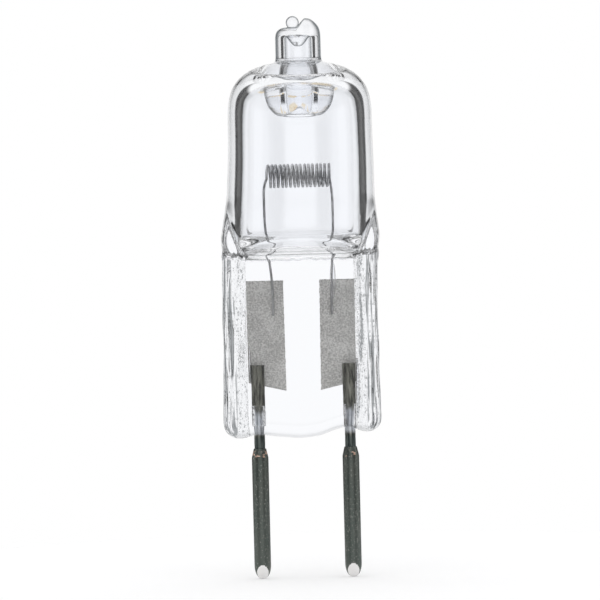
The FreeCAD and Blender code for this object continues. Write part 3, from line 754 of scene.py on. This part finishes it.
# The marks of the mould: specks beside the panel and drawn streaks on the rails.
panel_brim = product(quartz_tree, band(quartz_tree, from_middle, (3.75, 3.9), (4.4, 4.6)), in_press)
mould_dots = grain(quartz_tree, glass_place, DOT_GRAINS, 2.0)
speck = product(quartz_tree, stepped(quartz_tree, mould_dots, 0.57, 0.66), panel_brim)
on_rail = product(quartz_tree, stepped(quartz_tree, from_middle, 4.45, 4.6), in_press)
mould_lines = grain(quartz_tree, glass_place, LINE_GRAINS, 3.0)
streak = product(quartz_tree, stepped(quartz_tree, mould_lines, 0.5, 0.56), on_rail)

# A dark deposit on the upper walls of the gaps round the leads.
from_pin = math_node(quartz_tree, "SUBTRACT", math_node(quartz_tree, "ABSOLUTE", glass_x), PIN_SPACING / 2.0)
soot = fading(quartz_tree, distance(quartz_tree, from_pin, glass_y), 0.56, 0.6)
soot = product(quartz_tree, soot, stepped(quartz_tree, glass_z, UNDERSIDE + 1.7, UNDERSIDE + 3.0),
               stepped(quartz_tree, mould_dots, 0.3, 0.62), in_press)

# Painted shade: glass seen edge on is painted darker in its colour, a little all over, more on the tip, the
# bead and the underside.
facing = quartz_tree.nodes.new("ShaderNodeLayerWeight").outputs["Facing"]
on_tip = stepped(quartz_tree, glass_z, STUB_FOOT - 0.3, STUB_FOOT + 0.3)
from_axis = distance(quartz_tree, glass_x, glass_y)
on_bead = product(quartz_tree, stepped(quartz_tree, glass_z, BEAD_BOTTOM - 0.2, BEAD_BOTTOM - 0.1),
                  fading(quartz_tree, from_axis, 2.6, 2.7))
on_foot = fading(quartz_tree, glass_z, UNDERSIDE + 0.7, UNDERSIDE + 1.2)
painted_edge_shade = strongest(
    quartz_tree,
    product(quartz_tree, stepped(quartz_tree, facing, 0.35, 0.85), EDGE_SHADE_STRENGTH),
    product(quartz_tree, stepped(quartz_tree, facing, 0.24, 0.64), on_tip),
    product(quartz_tree, on_bead, stepped(quartz_tree, facing, 0.45, 0.8), BEAD_SHADE_STRENGTH),
    product(quartz_tree, on_foot, stepped(quartz_tree, facing, 0.1, 0.6), FOOT_SHADE_STRENGTH),
)
# Grey marks and painted edge shade together, the strongest of them.
marks_and_painted_shade = strongest(
    quartz_tree,
    product(quartz_tree, speck, SPECK_STRENGTH),
    product(quartz_tree, streak, STREAK_STRENGTH),
    painted_edge_shade,
    product(quartz_tree, soot, SOOT_STRENGTH),
)

# An amber tint in patches on a ring round the bead, at the height of the groove.
amber_ring = product(
    quartz_tree,
    band(quartz_tree, glass_z, (CEILING - 0.2, CEILING - 0.1), (CEILING + 0.02, CEILING + 0.1)),
    band(quartz_tree, from_axis, (2.0, 2.3), (2.9, 3.1)),
    stepped(quartz_tree, grain(quartz_tree, glass_place, AMBER_RING_GRAINS, 1.0), 0.42, 0.55),
    AMBER_RING_STRENGTH,
)
# Glass colour: tint with the amber patches, then grey marks and painted edge shade over it.
glass_colour = blend(quartz_tree, marks_and_painted_shade, blend(quartz_tree, amber_ring, GLASS_TINT, AMBER), MARK_AND_SHADE_GREY)
quartz_tree.links.new(glass_colour, quartz_shader.inputs["Base Color"])
quartz_tree.links.new(product(quartz_tree, speck, SPECK_ROUGHNESS), quartz_shader.inputs["Roughness"])
roughened(quartz_tree, quartz_shader, product(quartz_tree, mould_dots, panel_brim), DOT_DEPTH, 0.6)
quartz_shader.inputs["IOR"].default_value = QUARTZ_IOR
quartz_shader.inputs["Transmission Weight"].default_value = 1.0

glass_shells = [
    (pressed_and_melted(glass_outside()), False),
    (bent_floor(ring_grid(glass_inside(), AROUND_INSIDE)), True),
]
glass_shells += [(bubble_rings(centre, reach), True) for centre, reach in BUBBLES]
glass_shells += [(channel_rings(side * PIN_SPACING / 2.0), True) for _, side in SIDES]
envelope = new_piece("quartz_envelope", glass_shells, quartz)
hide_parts("glass_envelope")

# Pins: turned and plated nickel sleeves with a tapered shoulder and a bullet end, pressed onto the leads.
# The plating is pitted and stained, and painted dark as a painted shade of the dark surroundings it reflects.
# Its pits are painted lighter as a painted grainy highlight, with copper-coloured painted glints at the
# shoulder.
# The bullet end is ground to a flat on the front and on the back; the flats are painted light, a painted
# reflection.
PIN_RADIUS = 0.585
PIN_TIP = -8.5
NOSE_LENGTH = 0.95
SHOULDER_HEIGHT = 0.6
SLEEVE_BORE = LEAD_RADIUS + 0.01
SLEEVE_BOTTOM = SHOULDER_HEIGHT - 0.9
RIM_RADIUS = 0.445
FLAT_SLOPE = 0.52
FLAT_START = 4.5
PIN_ROWS = 60
NOSE_ROWS = 14
NOSE_POWER = 0.8
PIN_AROUND = 64
# Painted shade: the plating is bright metal, and these dark colours stand in for the dark surroundings it
# reflects; stains mottle between them.
PLATE_PAINTED_SHADE_DARK = (0.06, 0.082, 0.075)
PLATE_PAINTED_SHADE_PALE = (0.14, 0.145, 0.13)
# Painted highlight: the light grey of the pits stands in for a grainy highlight; their bump is real.
PIT_PAINTED_HIGHLIGHT = (0.3, 0.3, 0.285)
# Painted glint: copper-coloured patches at the shoulder that stand in for warm reflections of light.
COPPER_PAINTED_GLINT = (0.95, 0.66, 0.52)
# Painted reflection: the light colour on the ground flats stands in for a bright reflection on them.
FLAT_PAINTED_REFLECTION = (0.85, 0.84, 0.83)
# Grains of the pits and of their painted highlight.
PIT_AND_HIGHLIGHT_GRAINS = (9.0, 9.0, 6.0)
PIT_DEPTH = 0.02
STAIN_GRAINS = (1.2, 1.2, 0.35)
# Grains of the painted copper glints.
GLINT_GRAINS = (2.0, 2.0, 3.0)
PIN_ROUGHNESS = 0.35


def pin_rings(side):
    """Sleeve turned from a profile up its bore, over the rim and down the shoulder to the bullet end.

    The bullet's radius is the pin's times the cosine of the way down raised to a power, and its height falls
    with the sine. Depth is then clipped at the two flats, which slope in towards the tip.
    """
    upper = [
        (0.0, SLEEVE_BOTTOM), (SLEEVE_BORE, SLEEVE_BOTTOM), (SLEEVE_BORE, SHOULDER_HEIGHT),
        (RIM_RADIUS - 0.02, SHOULDER_HEIGHT), (RIM_RADIUS, SHOULDER_HEIGHT - 0.04),
        (PIN_RADIUS - 0.02, 0.06), (PIN_RADIUS, -0.04),
    ]
    straight = np.linspace(-0.3, PIN_TIP + NOSE_LENGTH + 0.1, PIN_ROWS)
    straight = np.stack((np.full(PIN_ROWS, PIN_RADIUS), straight), axis=1)
    way = np.linspace(0.0, np.pi / 2.0, NOSE_ROWS)
    nose_height = PIN_TIP + NOSE_LENGTH * (1.0 - np.sin(way))
    nose = np.stack((PIN_RADIUS * np.cos(way) ** NOSE_POWER, nose_height), axis=1)
    radius, height = np.concatenate((upper, straight, nose)).T
    rings = ring_grid(turned_rows(radius, height, side * PIN_SPACING / 2.0), PIN_AROUND)
    flat = np.maximum(FLAT_START + FLAT_SLOPE * rings[..., 2], 0.0)
    rings[..., 1] = np.clip(rings[..., 1], -flat, flat)
    return rings


pin_metal, pin_tree, pin_shader = new_material("plated_pin")
pin_place = place_in_mm(pin_tree)
_, pin_depth, pin_height = parts_of(pin_tree, pin_place)
# Pits: real bump texture, and the mask of their painted grainy highlight.
pits_and_highlight = grain(pin_tree, pin_place, PIT_AND_HIGHLIGHT_GRAINS, 3.0)
stain = grain(pin_tree, pin_place, STAIN_GRAINS, 2.0)
# Cloud that places the painted copper glints.
glint_cloud = grain(pin_tree, pin_place, GLINT_GRAINS, 2.0)
# Painted glint: copper-coloured patches on the shoulder, standing in for warm reflections of light.
painted_glint = product(pin_tree, band(pin_tree, pin_height, (-0.12, 0.05), (0.3, 0.5)),
                stepped(pin_tree, glint_cloud, 0.54, 0.6))
# Where the flats are: the place for the painted reflection on the bullet end.
flat_depth = math_node(pin_tree, "MULTIPLY_ADD", pin_height, FLAT_SLOPE, FLAT_START)
past_flat = math_node(pin_tree, "SUBTRACT", math_node(pin_tree, "ABSOLUTE", pin_depth), flat_depth)
# Painted shade: stained plating in dark colours that stand in for the dark surroundings it reflects.
plate_and_painted_light = blend(pin_tree, stain, PLATE_PAINTED_SHADE_DARK, PLATE_PAINTED_SHADE_PALE)
# Painted highlight: the pits are painted light grey as a grainy highlight.
plate_and_painted_light = blend(pin_tree, stepped(pin_tree, pits_and_highlight, 0.55, 0.78), plate_and_painted_light, PIT_PAINTED_HIGHLIGHT)
# Painted glint: the copper patches on the shoulder.
plate_and_painted_light = blend(pin_tree, painted_glint, plate_and_painted_light, COPPER_PAINTED_GLINT)
# Painted reflection: the flats on the bullet end are painted light.
plate_and_painted_light = blend(pin_tree, stepped(pin_tree, past_flat, -0.012, -0.004), plate_and_painted_light, FLAT_PAINTED_REFLECTION)
pin_tree.links.new(plate_and_painted_light, pin_shader.inputs["Base Color"])
roughened(pin_tree, pin_shader, pits_and_highlight, PIT_DEPTH, 0.5)
pin_shader.inputs["Metallic"].default_value = 0.9
pin_shader.inputs["Roughness"].default_value = PIN_ROUGHNESS

for name, side in SIDES:
    sleeve = new_piece(f"pin_{name}", [(pin_rings(side), True)], pin_metal)
    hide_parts(f"pin_sleeve_{name}")

# Studio: a round pale floor just below the pins, and an even white surround.
# The surround has soft dark cards at its four corners and is dimmer below the horizon.
# Only glass and metal show them. The camera is level, with a long lens.
FLOOR_HEIGHT = PIN_TIP - 0.02
FLOOR_REACH = 40.0
FLOOR_CORNERS = 96
FLOOR_GLOW = 0.08
FLOOR_PAINT = (0.96, 0.96, 0.965, 1.0)
WHITE = (1.0, 1.0, 1.0, 1.0)
CARD_SIDES = (0.5, 0.66)
CARD_TOPS = (0.46, 0.58)
CARD_LEAN = 0.55
HORIZON = (0.05, 0.18)
CARD_DARKNESS = 0.97
GROUND_DARKNESS = 0.7
THROUGH_GLASS = 0.07
PIXELS_A_MM = 14.28
FRAME_PIXELS = 600.0
FOCAL_LENGTH = 180.0
SENSOR = 36.0
VIEW_HEIGHT = UNDERSIDE + 9.6
VIEW_ACROSS = -0.11
ROLL = math.radians(-1.43)
GLASS_BOUNCES = 48
METAL_BOUNCES = 24

floor_mesh = bpy.data.meshes.new("studio_floor")
floor_turn = np.linspace(0.0, 2.0 * np.pi, FLOOR_CORNERS, endpoint=False)
floor_rim = np.stack((FLOOR_REACH * np.cos(floor_turn), FLOOR_REACH * np.sin(floor_turn),
                      np.full(FLOOR_CORNERS, FLOOR_HEIGHT)), axis=1) * MM
floor_mesh.from_pydata(floor_rim.tolist(), [], [list(range(len(floor_rim)))])
floor = bpy.data.objects.new("studio_floor", floor_mesh)
bpy.context.scene.collection.objects.link(floor)
floor_paint, _, floor_shader = new_material("pale_floor")
floor_shader.inputs["Base Color"].default_value = FLOOR_PAINT
floor_shader.inputs["Roughness"].default_value = 1.0
floor_shader.inputs["Specular IOR Level"].default_value = 0.0
floor_shader.inputs["Emission Color"].default_value = WHITE
floor_shader.inputs["Emission Strength"].default_value = FLOOR_GLOW
floor_mesh.materials.append(floor_paint)

world = bpy.data.worlds.new("studio_surround")
bpy.context.scene.world = world
world.use_nodes = True
sky = world.node_tree
sky.nodes.clear()
sky_x, sky_y, sky_z = parts_of(sky, sky.nodes.new("ShaderNodeTexCoord").outputs["Generated"])
east = math_node(sky, "ABSOLUTE", sky_x)
north = math_node(sky, "ABSOLUTE", sky_y)
steepness = math_node(sky, "ABSOLUTE", sky_z)
cornering = math_node(sky, "DIVIDE", math_node(sky, "MINIMUM", east, north),
                      math_node(sky, "MAXIMUM", east, north))
cornering = math_node(sky, "MULTIPLY_ADD", steepness, CARD_LEAN, cornering)
cards = product(sky, stepped(sky, cornering, *CARD_SIDES), fading(sky, steepness, *CARD_TOPS))
ground = product(sky, stepped(sky, product(sky, sky_z, -1.0), *HORIZON), GROUND_DARKNESS)
dark = product(sky, strongest(sky, cards, ground), CARD_DARKNESS)
light_path = sky.nodes.new("ShaderNodeLightPath").outputs
mirrored = math_node(sky, "GREATER_THAN", light_path["Glossy Depth"], 0.5)
seen = product(sky, strongest(sky, light_path["Is Glossy Ray"], light_path["Is Transmission Ray"]),
               math_node(sky, "MULTIPLY_ADD", mirrored, 1.0 - THROUGH_GLASS, THROUGH_GLASS))
background = sky.nodes.new("ShaderNodeBackground")
background.inputs["Color"].default_value = WHITE
sky.links.new(math_node(sky, "SUBTRACT", 1.0, product(sky, dark, seen)), background.inputs["Strength"])
sky.links.new(background.outputs[0], sky.nodes.new("ShaderNodeOutputWorld").inputs["Surface"])

lens = bpy.data.cameras.new("long_lens")
lens.lens = FOCAL_LENGTH
lens.sensor_width = SENSOR
lens.clip_start = 0.01
lens.clip_end = 10.0
camera = bpy.data.objects.new("long_lens", lens)
bpy.context.scene.collection.objects.link(camera)
ahead = Vector((0.0, 1.0, 0.0))
stand_off = FRAME_PIXELS / PIXELS_A_MM * FOCAL_LENGTH / SENSOR
camera.location = (Vector((VIEW_ACROSS, 0.0, VIEW_HEIGHT)) - ahead * stand_off) * MM
camera.rotation_mode = "QUATERNION"
camera.rotation_quaternion = ahead.to_track_quat("-Z", "Y") @ Euler((0.0, 0.0, ROLL)).to_quaternion()
bpy.context.scene.camera = camera
bpy.context.scene.view_settings.view_transform = "Standard"
bpy.context.scene.cycles.max_bounces = GLASS_BOUNCES
bpy.context.scene.cycles.transmission_bounces = GLASS_BOUNCES
bpy.context.scene.cycles.glossy_bounces = METAL_BOUNCES
